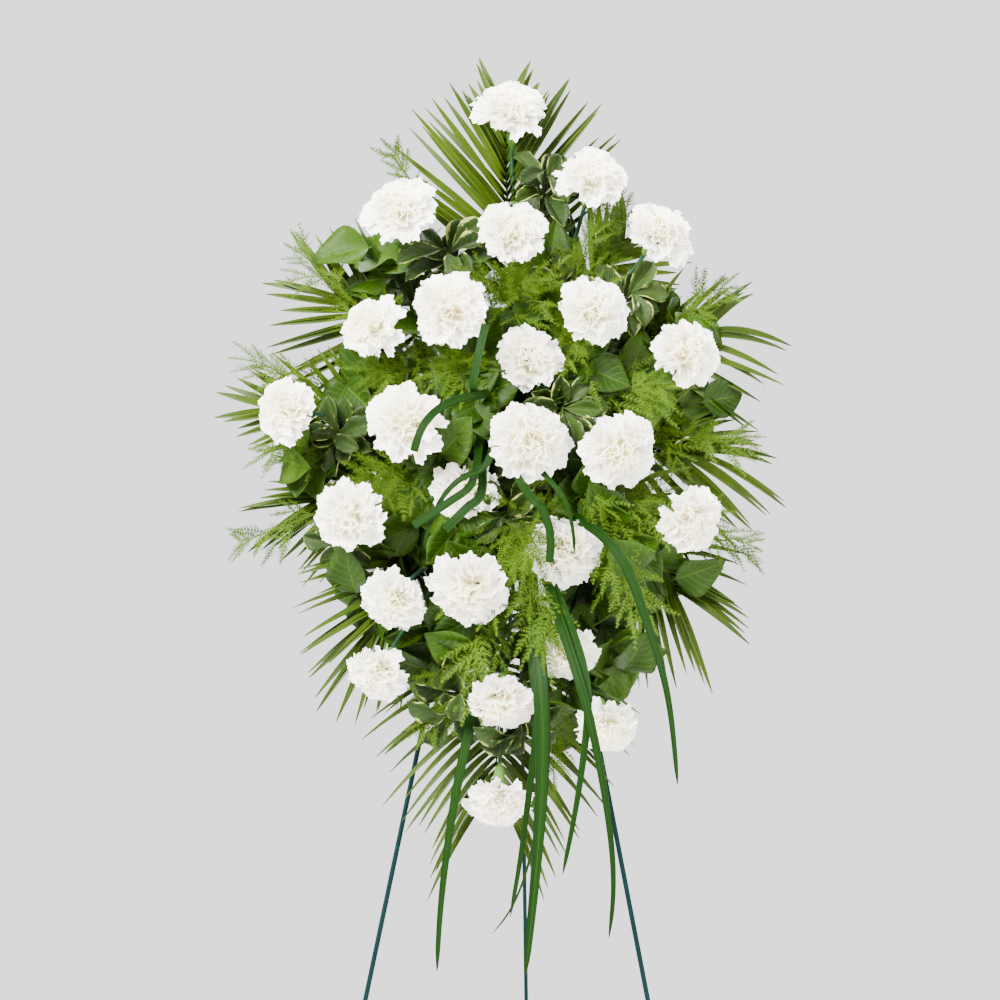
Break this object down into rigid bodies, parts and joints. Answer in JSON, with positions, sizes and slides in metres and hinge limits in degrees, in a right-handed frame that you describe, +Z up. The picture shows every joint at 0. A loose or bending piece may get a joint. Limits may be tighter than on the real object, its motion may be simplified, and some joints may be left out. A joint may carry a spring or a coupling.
{
  "type": "standing funeral spray",
  "caption": "Tall diamond-shaped spray of white carnations with palm, fern and mixed greens, set in caged floral foam on a folding three-legged wire easel.",
  "frame": {"origin": "on the floor, under the middle of the whole object's bounding box", "axes": "+Z up, -Y towards the viewer of the flowers, +X to the viewer's right"},
  "size_m": [0.5598, 0.5805, 1.4684],
  "materials": {
    "carnation_petal": "matt, soft petals, creamy at the heart",
    "carnation_stem": "waxy blue-green stems and calyces",
    "palm_leaf": "satin leaf, olive green",
    "lemon_leaf": "satin leaf, bright green with paler veins",
    "pittosporum_leaf": "satin leaf, grey-green with a cream edge",
    "asparagus_fern": "feathery, soft yellow-green",
    "lily_grass": "satin dark green blades with fine lengthwise ribs",
    "easel_wire": "dark teal-green paint, satin",
    "floral_foam": "wet fine-celled foam, matt",
    "cage_plastic": "moulded plastic, satin",
    "tie_plastic": "moulded plastic, satin"
  },
  "bodies": {
    "spray_on_stand": {"carnation_01": "carnation_petal", "carnation_02": "carnation_petal", "carnation_03": "carnation_petal", "carnation_04": "carnation_petal", "carnation_05": "carnation_petal", "carnation_06": "carnation_petal", "carnation_07": "carnation_petal", "carnation_08": "carnation_petal", "carnation_09": "carnation_petal", "carnation_10": "carnation_petal", "carnation_11": "carnation_petal", "carnation_12": "carnation_petal", "carnation_13": "carnation_petal", "carnation_14": "carnation_petal", "carnation_15": "carnation_petal", "carnation_16": "carnation_petal", "carnation_17": "carnation_petal", "carnation_18": "carnation_petal", "carnation_19": "carnation_petal", "carnation_20": "carnation_petal", "carnation_21": "carnation_petal", "carnation_22": "carnation_petal", "carnation_23": "carnation_petal", "carnation_24": "carnation_petal", "carnation_25": "carnation_petal", "carnation_stems_left_top": "carnation_stem", "carnation_stems_right_top": "carnation_stem", "carnation_stems_left_bottom": "carnation_stem", "carnation_stems_right_bottom": "carnation_stem", "carnation_stems_centre": "carnation_stem", "palm_frond_top": "palm_leaf", "palm_frond_upper_right": "palm_leaf", "palm_frond_right_upper": "palm_leaf", "palm_fronds_right": "palm_leaf", "palm_frond_bottom": "palm_leaf", "palm_fronds_left": "palm_leaf", "palm_frond_left_upper": "palm_leaf", "palm_frond_upper_left": "palm_leaf", "lemon_leaf_left": "lemon_leaf", "lemon_leaf_right": "lemon_leaf", "lemon_leaf_centre": "lemon_leaf", "pittosporum_left": "pittosporum_leaf", "pittosporum_right": "pittosporum_leaf", "pittosporum_centre": "pittosporum_leaf", "fern_left": "asparagus_fern", "fern_right": "asparagus_fern", "fern_centre_top": "asparagus_fern", "fern_centre_bottom": "asparagus_fern", "lily_grass_hanging": "lily_grass", "lily_grass_arching": "lily_grass", "front_leg_left": "easel_wire", "front_leg_right": "easel_wire", "hinge_bar": "easel_wire", "crossbar_upper": "easel_wire", "crossbar_lower": "easel_wire", "foam_block": "floral_foam", "foam_cage": "cage_plastic", "cage_tie_upper": "tie_plastic", "cage_tie_lower": "tie_plastic"},
    "rear_leg": {"rear_leg": "easel_wire"}
  },
  "joints": [
    {"name": "rear_leg_fold", "type": "hinge", "parent": "spray_on_stand", "child": "rear_leg", "pos_m": [0.0155, -0.02856, 1.13918], "axis": [1, 0, 0], "range_deg": [-22.6, 0]}
  ]
}
